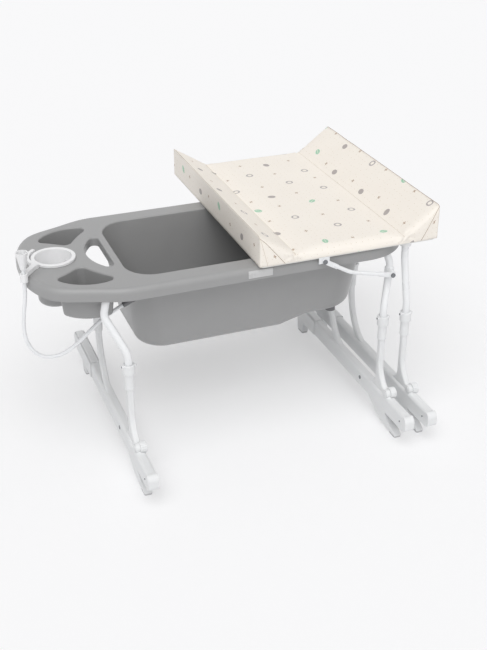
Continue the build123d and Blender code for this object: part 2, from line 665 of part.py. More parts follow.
far_front_route = [
    (FAR_FRAME, -LEG_FRONT, TUBE_END),
    (FAR_FRAME, -LEG_FRONT, STUB_TOP),
    (FAR_FRAME, -FAR_TOP_Y, FAR_ELBOW_Z + STUB),
    (FAR_FRAME, -FAR_TOP_Y, BOARD_UNDER - GAP),
]
far_rear_route = [
    (FAR_FRAME, LEG_REAR, TUBE_END),
    (FAR_FRAME, LEG_REAR, REAR_STUB_TOP),
    (FAR_FRAME, FAR_TOP_Y, FAR_ELBOW_Z),
    (FAR_FRAME, FAR_TOP_Y, BOARD_UNDER - GAP),
]
for name, route in (("far_front_tube", far_front_route), ("far_rear_tube", far_rear_route)):
    keep(name, bent_tube(route, [WIDE_BEND, WIDE_BEND / 2]))
for y in (-FAR_TOP_Y, FAR_TOP_Y):
    flange = Cylinder(FLANGE_DIA / 2, FLANGE_DEPTH) - Cylinder(TUBE_DIA / 2 + PIN_FIT, FLANGE_DEPTH * 2)
    keep("board_flanges", Pos(FAR_FRAME, y, BOARD_UNDER - FLANGE_DEPTH / 2) * flange)

board = Box(PAD_WIDTH - BOARD_INSET * 2, PAD_LENGTH - BOARD_INSET * 2, BOARD_THICK)
board = fillet(board.edges().filter_by(Axis.Z), BOARD_CORNER)
board_place = Pos(
    PAD_LEFT + PAD_WIDTH / 2, -PAD_FRONT + PAD_LENGTH / 2, BOARD_UNDER + BOARD_THICK / 2
)
keep("board", board_place * board)

# Changing mat: a crowned middle between two wedge wings, its ends drawn in
MAT_THICK = 20.0
WING_WIDTH = 100.0
WING_HEIGHT = 84.0
WING_TOP = 14.0
MAT_CROWN = 4.0
MAT_BULGE = 3.0
MAT_END_INSET = 5.0
MAT_END_DROP = 5.0
MAT_SECTION_SHARES = ((0.0, 1.0), (0.018, 0.35), (0.06, 0.0), (0.94, 0.0), (0.982, 0.35), (1.0, 1.0))


def mat_section(y, drawn):
    """Closed outline of the mat across its width; drawn is 1 at the very end and 0 inside."""
    inset = MAT_END_INSET * drawn
    drop = MAT_END_DROP * drawn
    left, right = PAD_LEFT + inset, PAD_LEFT + PAD_WIDTH - inset
    low = BOARD_TOP + drop
    top = BOARD_TOP + MAT_THICK - drop
    peak = BOARD_UNDER + WING_HEIGHT - drop * 2
    fold_left, fold_right = PAD_LEFT + WING_WIDTH, PAD_LEFT + PAD_WIDTH - WING_WIDTH
    shoulder = top + MAT_BULGE
    mid = (left + right) / 2
    lean = (fold_left - left - WING_TOP) / 2
    slope = (peak + shoulder) / 2
    bulge = MAT_BULGE
    edges = [
        Line((left, low), (right, low)),
        ThreePointArc((right, low), (right + bulge / 2, (low + peak) / 2), (right, peak - WING_TOP / 2)),
        ThreePointArc(
            (right, peak - WING_TOP / 2),
            (right - WING_TOP / 3, peak),
            (right - WING_TOP, peak - WING_TOP / 4),
        ),
        ThreePointArc(
            (right - WING_TOP, peak - WING_TOP / 4),
            (right - WING_TOP - lean + bulge, slope + bulge),
            (fold_right, top),
        ),
        ThreePointArc((fold_right, top), (mid, top + MAT_CROWN), (fold_left, top)),
        ThreePointArc(
            (fold_left, top),
            (left + WING_TOP + lean - bulge, slope + bulge),
            (left + WING_TOP, peak - WING_TOP / 4),
        ),
        ThreePointArc(
            (left + WING_TOP, peak - WING_TOP / 4), (left + WING_TOP / 3, peak), (left, peak - WING_TOP / 2)
        ),
        ThreePointArc((left, peak - WING_TOP / 2), (left - bulge / 2, (low + peak) / 2), (left, low)),
    ]
    face = make_face(edges)
    return Plane(origin=(0, y, 0), x_dir=(1, 0, 0), z_dir=(0, -1, 0)) * face


sections = [mat_section(-PAD_FRONT + PAD_LENGTH * at, drawn) for at, drawn in MAT_SECTION_SHARES]
keep("mat", loft(sections, ruled=True))

# Swing arms: bent bar with flattened ends, turning on bolts in two pairs of brackets
ARM_PLANE = 254.0
ARM_DIA = 11.0
ARM_PLATE = 4.0
ARM_EYE = 13.0
PIVOT_DROP = 8.1
PIVOT_OUT = 21.0
PIVOT_TOP = (181.0, BOARD_UNDER - PIVOT_DROP)
PIVOT_LOW = (NEAR_FRAME + PIVOT_OUT, 440.0)
ARM_KNEE = (259.0, 470.0)
ARM_KNEE_RADIUS = 90.0
EYE_LENGTH = 30.0
BOLT_DIA = 8.0
BOLT_HEAD_DIA = 13.0
BOLT_HEAD = 2.5
LUG_GAP = 0.5
LUG_DIA = 22.0
TAB_WIDTH = 30.0
TAB_THICK = 3.0
CLAMP_WALL = 3.0
CLAMP_LENGTH = 22.0


def bar_y(place, radius, y_from, y_to):
    """Cylinder along Y at a place in X and Z."""
    x, z = place
    return Pos(x, (y_from + y_to) / 2, z) * Rot(90, 0, 0) * Cylinder(radius, abs(y_to - y_from))


def toward(start, end, distance):
    """Place at a distance from start on the way to end."""
    run = math.dist(start, end)
    return tuple(a + (b - a) * distance / run for a, b in zip(start, end))


def swing_arm(side):
    """One arm in the plane beside the rim; side is -1 in front and 1 behind."""
    y = side * ARM_PLANE
    bar_start = toward(PIVOT_TOP, ARM_KNEE, EYE_LENGTH)
    bar_end = toward(PIVOT_LOW, ARM_KNEE, EYE_LENGTH)
    route = [(x, y, z) for x, z in (bar_start, ARM_KNEE, bar_end)]
    path = FilletPolyline(*route, radius=ARM_KNEE_RADIUS)
    lead = Vector(*route[1]) - Vector(*route[0])
    arm = sweep(Plane(origin=route[0], z_dir=lead) * Circle(ARM_DIA / 2), path=path)
    for pivot, bar in ((PIVOT_TOP, bar_start), (PIVOT_LOW, bar_end)):
        inner = toward(bar, pivot, -ARM_EYE)
        run = math.dist(pivot, inner)
        slope = math.degrees(math.atan2(inner[1] - pivot[1], inner[0] - pivot[0]))
        plate = Pos((pivot[0] + inner[0]) / 2, y, (pivot[1] + inner[1]) / 2) * Rot(0, -slope, 0) * Box(
            run, ARM_PLATE, ARM_EYE
        )
        arm += plate
        arm += bar_y(pivot, ARM_EYE / 2, y - ARM_PLATE / 2, y + ARM_PLATE / 2)
    for pivot in (PIVOT_TOP, PIVOT_LOW):
        arm -= bar_y(pivot, BOLT_DIA / 2 + PIN_FIT, y - ARM_PLATE, y + ARM_PLATE)
    return arm


def pivot_bolt(place, side, inner_face):
    """Bolt through an arm's eye, its head outside."""
    outside = side * (ARM_PLANE + ARM_PLATE / 2 + LUG_GAP)
    bolt = bar_y(place, BOLT_DIA / 2, side * inner_face, outside)
    return bolt + bar_y(place, BOLT_HEAD_DIA / 2, outside, outside + side * BOLT_HEAD)


def tube_place(route, index, height):
    """Point and direction of a straight tube run at a height."""
    a, b = Vector(*route[index]), Vector(*route[index + 1])
    share = (height - a.Z) / (b.Z - a.Z)
    return a + (b - a) * share, (b - a).normalized()


def hinge_bracket(side, route, first):
    """Clamp on the near frame's tube with a lug that reaches the arm."""
    centre, along = tube_place(route, first, PIVOT_LOW[1])
    plane = Plane(origin=centre - along * (CLAMP_LENGTH / 2), z_dir=along)
    clamp = extrude(plane * Circle(TUBE_DIA / 2 + CLAMP_WALL), CLAMP_LENGTH)
    face = side * (ARM_PLANE - ARM_PLATE / 2 - LUG_GAP)
    lug = bar_y(PIVOT_LOW, LUG_DIA / 2, face, centre.Y)
    reach = PIVOT_LOW[0] - centre.X
    lug += Pos(centre.X + reach / 2, (face + centre.Y) / 2, PIVOT_LOW[1]) * Box(
        abs(reach), abs(face - centre.Y), LUG_DIA
    )
    bore = Plane(origin=centre - along * CLAMP_LENGTH, z_dir=along) * Circle(TUBE_DIA / 2 + PIN_FIT)
    bracket = clamp + lug - extrude(bore, CLAMP_LENGTH * 2)
    return bracket - bar_y(PIVOT_LOW, BOLT_DIA / 2 + PIN_FIT, face, face - side * BOLT_DIA * 2)


def board_tab(side):
    """Steel tab under the board's edge that an arm is bolted to."""
    face = ARM_PLANE - ARM_PLATE / 2 - LUG_GAP
    low = PIVOT_TOP[1] - ARM_EYE / 2
    high = BOARD_TOP - GAP if side < 0 else BOARD_UNDER
    tab = Pos(PIVOT_TOP[0], side * (face - TAB_THICK / 2), (low + high) / 2) * Box(
        TAB_WIDTH, TAB_THICK, high - low
    )
    return tab - bar_y(PIVOT_TOP, BOLT_DIA / 2 + PIN_FIT, side * (face - TAB_THICK * 2), side * (face + CUT))


lug_face = ARM_PLANE - ARM_PLATE / 2 - LUG_GAP
for label, side, route, first in (("front", -1, front_tube_route, 5), ("rear", 1, rear_tube_route, 4)):
    keep(f"{label}_arm", swing_arm(side))
    keep(f"{label}_hinge_bracket", hinge_bracket(side, route, first))
    keep("board_tabs", board_tab(side))
    keep("frame_bolts", pivot_bolt(PIVOT_LOW, side, lug_face - BOLT_DIA))
    keep("board_bolts", pivot_bolt(PIVOT_TOP, side, lug_face - TAB_THICK))

# Rinsing bowl in its pocket
BOWL_LIP = 58.0
BOWL_LIP_THICK = 7.0
BOWL_WALL = 2.4
BOWL_TOP = 48.0
BOWL_BASE = 36.0
BOWL_DEPTH = 108.0
BOWL_EDGE = 1.0

lip_low = RIM_HEIGHT + GAP
outer = [
    (0, lip_low - BOWL_DEPTH),
    (BOWL_BASE, lip_low - BOWL_DEPTH),
    (BOWL_TOP, lip_low),
    (BOWL_LIP, lip_low),
    (BOWL_LIP, lip_low + BOWL_LIP_THICK),
    (BOWL_TOP, lip_low + BOWL_LIP_THICK),
    (BOWL_BASE - BOWL_WALL, lip_low - BOWL_DEPTH + BOWL_WALL),
    (0, lip_low - BOWL_DEPTH + BOWL_WALL),
]
outline = make_face(Polyline(*outer, close=True))
bowl = revolve(Plane.XZ * outline, Axis.Z)
lip_edges = bowl.edges().filter_by_position(Axis.Z, lip_low - CUT, lip_low + BOWL_LIP_THICK + CUT)
bowl = fillet(lip_edges, BOWL_EDGE)
keep("rinsing_bowl", Pos(BOWL_X, 0, 0) * bowl)

# Waste hose with its spout and the holder that carries it over the rim
HOSE_END = (-570.0, -84.0, 546.0)
SPOUT_LENGTH = 46.0
SPOUT_LOW_DIA = 15.0
SPOUT_TOP_DIA = 32.0
SPOUT_WALL = 2.0
HOLDER_INNER = 61.5
HOLDER_WIDTH = 9.0
HOLDER_HEIGHT = 11.0
HOLDER_FROM = 128.0
HOLDER_TO = 222.0
HOLDER_ARM_TURN = 214.0
CLIP_DIA = 20.0
CLIP_HEIGHT = 22.0
CLIP_ARM = 14.0
CLIP_SLACK = 0.9
HOSE_BEND_SHARE = 0.45

hose_route = [
    SPIGOT_END,
    SPIGOT_NEXT,
    (-388.0, -109.0, 379.0),
    (-425.0, -102.0, 343.0),
    (-461.0, -97.0, 308.0),
    (-502.0, -92.0, 284.0),
    (-547.0, -89.0, 288.0),
    (-577.0, -87.0, 323.0),
    (-586.0, -86.0, 369.0),
    (-582.0, -85.0, 417.0),
    (-573.0, -84.5, 463.0),
    (-570.0, -84.0, 507.0),
    HOSE_END,
]


def cord_radii(route):
    """Largest tangent arc that each pair of runs has room for."""
    radii = []
    for a, b, c in zip(route, route[1:], route[2:]):
        first, second = Vector(*b) - Vector(*a), Vector(*c) - Vector(*b)
        half_turn = math.radians(first.get_angle(second)) / 2
        shorter = min(first.length, second.length)
        radii.append(shorter * HOSE_BEND_SHARE / math.tan(half_turn))
    return radii


hose_radii = cord_radii(hose_route)
hose_path = FilletPolyline(*hose_route, radius=hose_radii)
lead = Vector(*hose_route[1]) - Vector(*hose_route[0])
hose = sweep(Plane(origin=hose_route[0], z_dir=lead) * Circle(HOSE_DIA / 2), path=hose_path)
keep("waste_hose", hose)
print("hose runs", [round(math.dist(a, b)) for a, b in zip(hose_route, hose_route[1:])])
print("hose radii", [round(r) for r in hose_radii], "length", round(hose_path.length))
print("hose volume over section times length", hose.volume / (math.pi * HOSE_DIA**2 / 4 * hose_path.length))

spout = Cone(SPOUT_LOW_DIA / 2, SPOUT_TOP_DIA / 2, SPOUT_LENGTH)
spout -= Pos(0, 0, SPOUT_WALL) * Cone(
    SPOUT_LOW_DIA / 2 - SPOUT_WALL, SPOUT_TOP_DIA / 2 - SPOUT_WALL, SPOUT_LENGTH
)
keep("hose_spout", Pos(HOSE_END[0], HOSE_END[1], HOSE_END[2] + SPOUT_LENGTH / 2) * spout)

holder_low = RIM_HEIGHT + GAP
start_turn, end_turn = math.radians(HOLDER_FROM), math.radians(HOLDER_TO)


def ring_point(radius, turn):
    """Place on a circle round the bowl."""
    return (BOWL_X + radius * math.cos(turn), radius * math.sin(turn))


holder_outer = HOLDER_INNER + HOLDER_WIDTH
mid_turn = (start_turn + end_turn) / 2
band = make_face(
    [
        ThreePointArc(*[ring_point(HOLDER_INNER, t) for t in (start_turn, mid_turn, end_turn)]),
        Line(ring_point(HOLDER_INNER, end_turn), ring_point(holder_outer, end_turn)),
        ThreePointArc(*[ring_point(holder_outer, t) for t in (end_turn, mid_turn, start_turn)]),
        Line(ring_point(holder_outer, start_turn), ring_point(HOLDER_INNER, start_turn)),
    ]
)
holder = Pos(0, 0, holder_low) * extrude(band, HOLDER_HEIGHT)
hose_x, hose_y, hose_z = HOSE_END
clip_middle = holder_low + HOLDER_HEIGHT / 2
arm_start = ring_point((HOLDER_INNER + holder_outer) / 2, math.radians(HOLDER_ARM_TURN))
arm_run = math.dist(arm_start, (hose_x, hose_y))
arm_turn = math.degrees(math.atan2(hose_y - arm_start[1], hose_x - arm_start[0]))
arm_middle = ((hose_x + arm_start[0]) / 2, (hose_y + arm_start[1]) / 2)
holder += Pos(*arm_middle, clip_middle) * Rot(0, 0, arm_turn) * Box(arm_run, CLIP_ARM, HOLDER_HEIGHT)
clip_low = holder_low + HOLDER_HEIGHT - CLIP_HEIGHT
holder += Pos(hose_x, hose_y, clip_low + CLIP_HEIGHT / 2) * Cylinder(CLIP_DIA / 2, CLIP_HEIGHT)
clip_bore = Cylinder(HOSE_DIA / 2 + CLIP_SLACK, CLIP_HEIGHT * 2)
holder -= Pos(hose_x, hose_y, clip_low + CLIP_HEIGHT / 2) * clip_bore
rim_guard = rim_block(-GAP, RIM_HEIGHT + GAP, LIP_BOTTOM, RIM_ROUND)
keep("hose_holder", holder - rim_guard)

# Everything moves so that the origin is under the middle of the whole stand
STAND_LEFT = -HOSE_END[0] + CLIP_DIA / 2
STAND_RIGHT = PAD_LEFT + PAD_WIDTH + MAT_BULGE / 2
STAND_FRONT = RUNNER_FRONT + CAP_NOSE
STAND_BACK = PAD_LENGTH - PAD_FRONT
MIDDLE_X = (STAND_RIGHT - STAND_LEFT) / 2
MIDDLE_Y = (STAND_BACK - STAND_FRONT) / 2
to_origin = Pos(-MIDDLE_X, -MIDDLE_Y, 0)
print("origin moved by", MIDDLE_X, MIDDLE_Y)

for name, group in solids.items():
    placed = [to_origin * solid for solid in group]
    export_step(placed[0] if len(placed) == 1 else Compound(children=placed), f"parts/{name}.step")
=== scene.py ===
import math

import bmesh
import bpy
import numpy as np
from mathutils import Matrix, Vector, noise


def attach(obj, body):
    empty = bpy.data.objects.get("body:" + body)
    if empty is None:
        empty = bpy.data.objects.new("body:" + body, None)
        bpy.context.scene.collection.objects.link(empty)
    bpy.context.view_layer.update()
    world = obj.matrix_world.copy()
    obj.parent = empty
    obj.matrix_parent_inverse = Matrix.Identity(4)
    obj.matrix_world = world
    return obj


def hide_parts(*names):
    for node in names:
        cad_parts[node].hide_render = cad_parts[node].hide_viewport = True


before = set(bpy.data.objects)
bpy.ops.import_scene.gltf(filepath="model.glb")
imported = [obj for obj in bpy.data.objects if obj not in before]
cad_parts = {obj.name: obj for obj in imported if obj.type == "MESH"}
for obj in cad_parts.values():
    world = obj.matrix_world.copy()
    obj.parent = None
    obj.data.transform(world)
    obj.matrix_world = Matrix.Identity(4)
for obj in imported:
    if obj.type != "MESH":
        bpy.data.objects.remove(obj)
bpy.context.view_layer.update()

scene = bpy.context.scene
scene.view_settings.view_transform = "Standard"

# Camera
# A stills camera on a stand before the bath's left front corner, a little above the head of
# someone standing, looking down on the changing top. Upright frame, moderate long lens.
EYE = (-0.877, -2.5156, 1.702)
HEADING = 20.97
PITCH = 28.9
lens_data = bpy.data.cameras.new("stills_lens")
lens_data.sensor_fit = "VERTICAL"
lens_data.sensor_height = 36.0
lens_data.lens = 58.65
stills_camera = bpy.data.objects.new("stills_camera", lens_data)
stills_camera.location = EYE
stills_camera.rotation_euler = (math.radians(90.0 - PITCH), 0.0, math.radians(-HEADING))
scene.collection.objects.link(stills_camera)
scene.camera = stills_camera

# Waste hose
# Soft white vinyl hose, extruded, pushed on a spigot under the soap dish. It hangs in one low
# loop and comes up at the tub's end, where it stands in its clip with the spout on it.
HOSE_DIAMETER = 0.010
HOSE_ROUTE = [
    (-0.29825, -0.131, 0.418),
    (-0.32025, -0.1275, 0.406),
    (-0.35625, -0.119, 0.379),
    (-0.39325, -0.112, 0.343),
    (-0.42925, -0.107, 0.308),
    (-0.47025, -0.102, 0.284),
    (-0.51525, -0.099, 0.288),
    (-0.54525, -0.097, 0.323),
    (-0.55425, -0.096, 0.369),
    (-0.55025, -0.095, 0.417),
    (-0.54125, -0.0945, 0.463),
    (-0.53825, -0.094, 0.507),
    (-0.53825, -0.094, 0.546),
]


def linear(hex_colour):
    """Linear RGBA of an sRGB hex colour."""
    parts = [int(hex_colour[i : i + 2], 16) / 255 for i in (1, 3, 5)]
    return [c / 12.92 if c <= 0.04045 else ((c + 0.055) / 1.055) ** 2.4 for c in parts] + [1.0]


def add_node(material, kind, settings=None, inputs=None, links=None):
    """One node with its settings, input values and links from other nodes' outputs."""
    node = material.node_tree.nodes.new(kind)
    for key, value in (settings or {}).items():
        setattr(node, key, value)
    for key, value in (inputs or {}).items():
        node.inputs[key].default_value = value
    for key, (source, output) in (links or {}).items():
        material.node_tree.links.new(source.outputs[output], node.inputs[key])
    return node


def start_material(name):
    """An empty node material with its surface shader, returned with that shader."""
    material = bpy.data.materials.new(name)
    material.use_nodes = True
    surface = material.node_tree.nodes["Principled BSDF"]
    return material, surface


def moulded_finish(name, light_hex, dark_hex, roughness, ior, grain_mm, grain_depth_mm, mottle_mm):
    """Moulded or coated surface: a faint mottle in tone and gloss over a fine grain."""
    material, surface = start_material(name)
    place = add_node(material, "ShaderNodeTexCoord")
    mottle = add_node(
        material,
        "ShaderNodeTexNoise",
        inputs={"Scale": 1000.0 / mottle_mm, "Detail": 3.0, "Roughness": 0.55},
        links={"Vector": (place, "Object")},
    )
    tone = add_node(
        material,
        "ShaderNodeMix",
        settings={"data_type": "RGBA"},
        inputs={6: linear(dark_hex), 7: linear(light_hex)},
        links={"Factor": (mottle, "Fac")},
    )
    gloss = add_node(
        material,
        "ShaderNodeMapRange",
        inputs={"From Min": 0.3, "From Max": 0.7, "To Min": roughness - 0.04, "To Max": roughness + 0.04},
        links={"Value": (mottle, "Fac")},
    )
    grain = add_node(
        material,
        "ShaderNodeTexNoise",
        inputs={"Scale": 1000.0 / grain_mm, "Detail": 2.0},
        links={"Vector": (place, "Object")},
    )
    relief = add_node(
        material,
        "ShaderNodeBump",
        inputs={"Strength": 0.5, "Distance": grain_depth_mm / 1000.0},
        links={"Height": (grain, "Fac")},
    )
    surface.inputs["IOR"].default_value = ior
    tree = material.node_tree
    tree.links.new(tone.outputs[2], surface.inputs["Base Color"])
    tree.links.new(gloss.outputs["Result"], surface.inputs["Roughness"])
    tree.links.new(relief.outputs["Normal"], surface.inputs["Normal"])
    return material, surface


def finish_nodes(material, *nodes):
    """Gives CAD pieces their material."""
    for node in nodes:
        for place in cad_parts[node].material_slots:
            place.material = material


# Plasticised PVC: smooth from the die, a soft sheen, a slow mottle along its length.
hose_vinyl, hose_surface = moulded_finish(
    "extruded_pvc",
    light_hex="#F6F7F8",
    dark_hex="#ECEEF0",
    roughness=0.34,
    ior=1.53,
    grain_mm=2.0,
    grain_depth_mm=0.03,
    mottle_mm=30.0,
)
hose_surface.inputs["Subsurface Weight"].default_value = 0.08
hose_surface.inputs["Subsurface Radius"].default_value = (0.003, 0.003, 0.003)

hose_curve = bpy.data.curves.new("hose", "CURVE")
hose_curve.dimensions = "3D"
hose_spline = hose_curve.splines.new("NURBS")
hose_spline.points.add(len(HOSE_ROUTE) - 1)
for point, place in zip(hose_spline.points, HOSE_ROUTE):
    point.co = (*place, 1.0)
hose_spline.order_u = 3
hose_spline.use_endpoint_u = True
hose_spline.resolution_u = 16
hose_curve.bevel_depth = HOSE_DIAMETER / 2
hose_curve.bevel_resolution = 6
hose_curve.use_fill_caps = True
hose = bpy.data.objects.new("hose", hose_curve)
scene.collection.objects.link(hose)
hose_curve.materials.append(hose_vinyl)
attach(hose, "stand")
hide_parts("waste_hose")

# Floor and light
# A pale seamless studio floor, a big soft light overhead to the front left and an even
# surround. The floor fades into the surround, as a paper sweep does.
FLOOR_HALF = 30.0
FLOOR_LIFT = 0.345
SURROUND_LIGHT = 0.46
SURROUND_SEEN = 0.985
bpy.ops.mesh.primitive_grid_add(x_subdivisions=2, y_subdivisions=2, size=FLOOR_HALF * 2)
floor = bpy.context.object
floor.name = "studio_floor"
# Matt paper: white, no gloss. To the camera the sheet is darker and lifted, which thins
# the object's shadow and leaves the light on the object as it is.
paper, paper_surface = start_material("matt_paper")
paper_surface.inputs["Roughness"].default_value = 0.95
paper_surface.inputs["Specular IOR Level"].default_value = 0.0


def seen_rays(material):
    """1 for the rays that show the background itself: camera, mirrored and passed ones."""
    sight = add_node(material, "ShaderNodeLightPath")
    mirrored = add_node(
        material,
        "ShaderNodeMath",
        {"operation": "MAXIMUM"},
        links={0: (sight, "Is Camera Ray"), 1: (sight, "Is Glossy Ray")},
    )
    return add_node(
        material,
        "ShaderNodeMath",
        {"operation": "MAXIMUM"},
        links={0: (mirrored, "Value"), 1: (sight, "Is Transmission Ray")},
    )


seen = seen_rays(paper)
lift = add_node(
    paper,
    "ShaderNodeMath",
    {"operation": "MULTIPLY"},
    {1: FLOOR_LIFT},
    {0: (seen, "Value")},
)
sheet_tone = add_node(
    paper,
    "ShaderNodeMix",
    {"data_type": "RGBA"},
    {6: linear("#FBFBFC"), 7: linear("#D3D3D4")},
    {"Factor": (seen, "Value")},
)
paper.node_tree.links.new(sheet_tone.outputs[2], paper_surface.inputs["Base Color"])
paper_surface.inputs["Emission Color"].default_value = linear("#FFFFFF")
paper.node_tree.links.new(lift.outputs["Value"], paper_surface.inputs["Emission Strength"])
floor.data.materials.append(paper)

surround = bpy.data.worlds.new("soft_surround")
surround.use_nodes = True
surround_light = surround.node_tree.nodes["Background"]
surround_light.inputs["Color"].default_value = linear("#FAFAFB")
surround_strength = add_node(
    surround,
    "ShaderNodeMapRange",
    inputs={"To Min": SURROUND_LIGHT, "To Max": SURROUND_SEEN},
    links={"Value": (seen_rays(surround), "Value")},
)
surround.node_tree.links.new(surround_strength.outputs["Result"], surround_light.inputs["Strength"])
scene.world = surround

for name, strength, spread, turn in (
    ("overhead_softbox", 1.50, 55.0, (24.0, -16.0, 0.0)),
    ("front_fill", 0.38, 90.0, (60.0, 0.0, 16.0)),
):
    lamp = bpy.data.lights.new(name, "SUN")
    lamp.energy = strength
    lamp.angle = math.radians(spread)
    stand_lamp = bpy.data.objects.new(name, lamp)
    stand_lamp.rotation_euler = [math.radians(a) for a in turn]
    scene.collection.objects.link(stand_lamp)

# Tub
# One thin injection moulding of mid-grey polypropylene, satin outside and in from a
# spark-eroded mould, with a crowned rim that rests on the two long tubes.
tub_plastic, _ = moulded_finish(
    "moulded_polypropylene_grey",
    light_hex="#A1A1A1",
    dark_hex="#9C9C9C",
    roughness=0.34,
    ior=1.49,
    grain_mm=1.4,
    grain_depth_mm=0.05,
    mottle_mm=60.0,
)
finish_nodes(tub_plastic, "tub")

# Rinsing bowl, hose spout and holder
# White polypropylene, glossier than the tub because their moulds are polished. The bowl
# lifts out of its pocket; the holder hugs it and clips the hose.
gloss_white, gloss_surface = moulded_finish(
    "polished_polypropylene",
    light_hex="#F7F7F7",
    dark_hex="#F1F1F2",
    roughness=0.24,
    ior=1.49,
    grain_mm=3.0,
    grain_depth_mm=0.02,
    mottle_mm=45.0,
)
gloss_surface.inputs["Subsurface Weight"].default_value = 0.05
gloss_surface.inputs["Subsurface Radius"].default_value = (0.004, 0.004, 0.004)
finish_nodes(gloss_white, "rinsing_bowl", "hose_spout", "hose_holder", "board_flanges")

# Waste valve, plug and hose spigot
# Dark grey fittings, moulded in ABS and screwed through the tub's floor.
fitting_plastic, _ = moulded_finish(
    "moulded_abs_grey",
    light_hex="#7A7A7C",
    dark_hex="#707072",
    roughness=0.36,
    ior=1.54,
    grain_mm=1.6,
    grain_depth_mm=0.04,
    mottle_mm=30.0,
)
finish_nodes(fitting_plastic, "waste_valve", "plug", "hose_spigot")

# Long tubes, arms and their brackets
# Bent round steel tube and bar with a white powder coat, which flows out in a fine
# orange peel; its waves are about 2 mm apart.
powder_coat, coat_surface = moulded_finish(
    "powder_coated_steel",
    light_hex="#F2F3F4",
    dark_hex="#EDEEEF",
    roughness=0.30,
    ior=1.52,
    grain_mm=2.2,
    grain_depth_mm=0.06,
    mottle_mm=80.0,
)
coat_surface.inputs["Coat Weight"].default_value = 0.25
coat_surface.inputs["Coat Roughness"].default_value = 0.12
finish_nodes(
    powder_coat,
    "front_tube",
    "rear_tube",
    "far_front_tube",
    "far_rear_tube",
    "front_arm",
    "rear_arm",
    "front_hinge_bracket",
    "rear_hinge_bracket",
    "board_tabs",
)

# Runner frames, caps, horn feet, collars and knobs
# White glass-filled nylon, moulded with a satin spark grain of about 1 mm, which takes
# the gloss off the broad flat sides.
FRAMES = ("left", "near", "far")
FRAME_PARTS = ("side_frame", "front_cap", "rear_cap", "collars", "horn_foot", "knob")
frame_plastic, _ = moulded_finish(
    "glass_filled_nylon",
    light_hex="#EDEEEE",
    dark_hex="#E6E7E8",
    roughness=0.44,
    ior=1.53,
    grain_mm=1.2,
    grain_depth_mm=0.05,
    mottle_mm=70.0,
)
for name in FRAMES:
    finish_nodes(frame_plastic, *[f"{name}_{part}" for part in FRAME_PARTS])

# Pads and tips
# Grey thermoplastic rubber, matt, pushed over the feet so that the stand doesn't slide.
foot_rubber, _ = moulded_finish(
    "thermoplastic_rubber",
    light_hex="#CBCBCC",
    dark_hex="#C0C0C1",
    roughness=0.78,
    ior=1.50,
    grain_mm=1.5,
    grain_depth_mm=0.08,
    mottle_mm=20.0,
)
for name in FRAMES:
    finish_nodes(foot_rubber, f"{name}_rear_pad", f"{name}_horn_tip")

# Bolts, pins and screws
# Zinc-plated steel, rolled and tumbled: a soft metallic grey, no polish.
plated_steel, plated_surface = moulded_finish(
    "zinc_plated_steel",
    light_hex="#8E9093",
    dark_hex="#787A7D",
    roughness=0.36,
    ior=1.5,
    grain_mm=1.0,
    grain_depth_mm=0.03,
    mottle_mm=12.0,
)
plated_surface.inputs["Metallic"].default_value = 0.9
finish_nodes(
    plated_steel,
    "frame_bolts",
    "board_bolts",
    "fixed_horn_pins",
    "far_horn_pins",
    "fixed_frame_screws",
    "far_frame_screws",
)

# Board under the mat
# Pressed fibre board with a white melamine face, cut to the mat's size.
board_face, _ = moulded_finish(
    "melamine_board",
    light_hex="#EFEFEC",
    dark_hex="#E8E8E4",
    roughness=0.42,
    ior=1.55,
    grain_mm=1.8,
    grain_depth_mm=0.03,
    mottle_mm=90.0,
)
finish_nodes(board_face, "board")

# Changing mat
# Foam in a coated cotton cover: a flat middle between two wedge wings whose top edges
# are seams. The cover is drawn taut, and puckers where the wings meet the middle.
MAT_LEFT = 0.03175
MAT_WIDTH = 0.515
MAT_FRONT = -0.261
MAT_LENGTH = 0.715
MAT_LOW = 0.5262
MAT_THICK = 0.0205
WING_WIDTH = 0.100
LEFT_RISE = 0.0846
RIGHT_RISE = 0.0950
CELL = 0.008
END_ROUND = 0.010
END_FLATTENED = 0.6
PUFF_CAP = 0.006
PUFF_FRAMES = 20
ACROSS = round(MAT_WIDTH / CELL)
ALONG = round(MAT_LENGTH / CELL)
UP = 6
WING_CELLS = round(WING_WIDTH / CELL)


def top_height(x):
    """Height of the mat's top above its base at a distance from its left edge."""
    from_edge = min(x, MAT_WIDTH - x)
    rise = LEFT_RISE if x < MAT_WIDTH / 2 else RIGHT_RISE
    if from_edge >= WING_WIDTH:
        return MAT_THICK
    return MAT_THICK + (rise - MAT_THICK) * (1 - from_edge / WING_WIDTH)


across = np.linspace(0.0, MAT_WIDTH, ACROSS + 1)
across[WING_CELLS] = WING_WIDTH
across[ACROSS - WING_CELLS] = MAT_WIDTH - WING_WIDTH
heights = [top_height(x) for x in across]
cloth_run = [0.0]
for i in range(ACROSS):
    rise_of_cell = heights[i + 1] - heights[i]
    cloth_run.append(cloth_run[-1] + math.hypot(across[i + 1] - across[i], rise_of_cell))


def mat_point(i, j, k):
    """Place of one node of the mat's outer skin before it is filled."""
    y = MAT_LENGTH * j / ALONG
    from_end = min(y, MAT_LENGTH - y)
    drop = END_ROUND * (1 - math.sqrt(max(0.0, 1 - (1 - min(from_end / END_ROUND, 1.0)) ** 2)))
    height = heights[i] - drop * END_FLATTENED
    return (MAT_LEFT + across[i], MAT_FRONT + y, MAT_LOW + height * k / UP)


def cloth_place(side, i, j, k):
    """Flat place on the cover, in metres, so that the print runs over the edges."""
    run = cloth_run[i]
    along = MAT_LENGTH * j / ALONG
    below = heights[i] * (1 - k / UP)
    if side == "left":
        run -= below
    if side == "right":
        run += below
    if side == "front":
        along -= below
    if side == "back":
        along += below
    return (run, along)


skin = bmesh.new()
flat_layer = skin.loops.layers.uv.new("cover")
nodes_of_skin = {}


